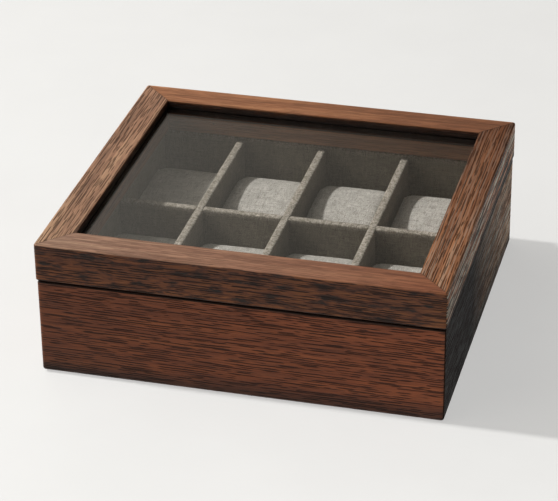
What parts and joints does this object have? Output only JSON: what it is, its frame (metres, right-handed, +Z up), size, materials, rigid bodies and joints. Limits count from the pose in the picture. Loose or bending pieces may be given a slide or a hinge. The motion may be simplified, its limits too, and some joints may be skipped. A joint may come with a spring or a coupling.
{
  "type": "watch box",
  "caption": "Low wooden watch box with a mitred, glazed lid hinged at the back and a linen-lined interior whose lattice of dividers makes cells, each with a loose watch pillow.",
  "frame": {"origin": "centre of the underside, on the surface the box stands on", "axes": "+X to the right along the front, +Y to the back where the hinges are, +Z up"},
  "size_m": [0.28, 0.2622, 0.099],
  "materials": {
    "stained_oak": "dark-stained open-pored oak with a dull satin finish",
    "plywood": "plain stained board",
    "linen": "heathered grey linen weave",
    "board": "pressed grey board",
    "foam": "soft open-cell foam wadding",
    "felt": "short-napped dark felt",
    "brass": "brushed antique brass",
    "steel": "plain bright steel",
    "bumper_rubber": "translucent soft rubber",
    "glass": "clear float glass, faintly green"
  },
  "bodies": {
    "base": {"base_front_panel": "stained_oak", "base_back_panel": "stained_oak", "base_left_panel": "stained_oak", "base_right_panel": "stained_oak", "base_bottom_panel": "plywood", "base_felt": "felt", "lining_front": "linen", "lining_back": "linen", "lining_left": "linen", "lining_right": "linen", "lining_floor": "linen", "cross_divider_board": "board", "cross_divider_cover": "linen", "left_divider_board": "board", "left_divider_cover": "linen", "middle_divider_board": "board", "middle_divider_cover": "linen", "right_divider_board": "board", "right_divider_cover": "linen", "hinge_left_base_leaf": "brass", "hinge_right_base_leaf": "brass", "hinge_left_pin": "brass", "hinge_right_pin": "brass", "hinge_base_screws": "steel", "lid_bumpers": "bumper_rubber"},
    "lid": {"lid_front_rail": "stained_oak", "lid_back_rail": "stained_oak", "lid_left_rail": "stained_oak", "lid_right_rail": "stained_oak", "lid_glass": "glass", "glass_bead_front": "stained_oak", "glass_bead_back": "stained_oak", "glass_bead_left": "stained_oak", "glass_bead_right": "stained_oak", "bead_brads": "steel", "hinge_left_lid_leaf": "brass", "hinge_right_lid_leaf": "brass", "hinge_lid_screws": "steel"},
    "pillow_back_1": {"pillow_back_1_cover": "linen", "pillow_back_1_core": "foam"},
    "pillow_back_2": {"pillow_back_2_cover": "linen", "pillow_back_2_core": "foam"},
    "pillow_back_3": {"pillow_back_3_cover": "linen", "pillow_back_3_core": "foam"},
    "pillow_back_4": {"pillow_back_4_cover": "linen", "pillow_back_4_core": "foam"},
    "pillow_front_1": {"pillow_front_1_cover": "linen", "pillow_front_1_core": "foam"},
    "pillow_front_2": {"pillow_front_2_cover": "linen", "pillow_front_2_core": "foam"},
    "pillow_front_3": {"pillow_front_3_cover": "linen", "pillow_front_3_core": "foam"},
    "pillow_front_4": {"pillow_front_4_cover": "linen", "pillow_front_4_core": "foam"}
  },
  "joints": [
    {"name": "lid_hinge", "type": "hinge", "parent": "base", "child": "lid", "pos_m": [0, 0.1312, 0.071], "axis": [-1, 0, 0], "range_deg": [0, 95]},
    {"name": "pillow_back_1_lift", "type": "slide", "parent": "base", "child": "pillow_back_1", "axis": [0, 0, 1], "range_m": [0, 0.017]},
    {"name": "pillow_back_2_lift", "type": "slide", "parent": "base", "child": "pillow_back_2", "axis": [0, 0, 1], "range_m": [0, 0.033]},
    {"name": "pillow_back_3_lift", "type": "slide", "parent": "base", "child": "pillow_back_3", "axis": [0, 0, 1], "range_m": [0, 0.033]},
    {"name": "pillow_back_4_lift", "type": "slide", "parent": "base", "child": "pillow_back_4", "axis": [0, 0, 1], "range_m": [0, 0.017]},
    {"name": "pillow_front_1_lift", "type": "slide", "parent": "base", "child": "pillow_front_1", "axis": [0, 0, 1], "range_m": [0, 0.017]},
    {"name": "pillow_front_2_lift", "type": "slide", "parent": "base", "child": "pillow_front_2", "axis": [0, 0, 1], "range_m": [0, 0.033]},
    {"name": "pillow_front_3_lift", "type": "slide", "parent": "base", "child": "pillow_front_3", "axis": [0, 0, 1], "range_m": [0, 0.033]},
    {"name": "pillow_front_4_lift", "type": "slide", "parent": "base", "child": "pillow_front_4", "axis": [0, 0, 1], "range_m": [0, 0.017]}
  ]
}
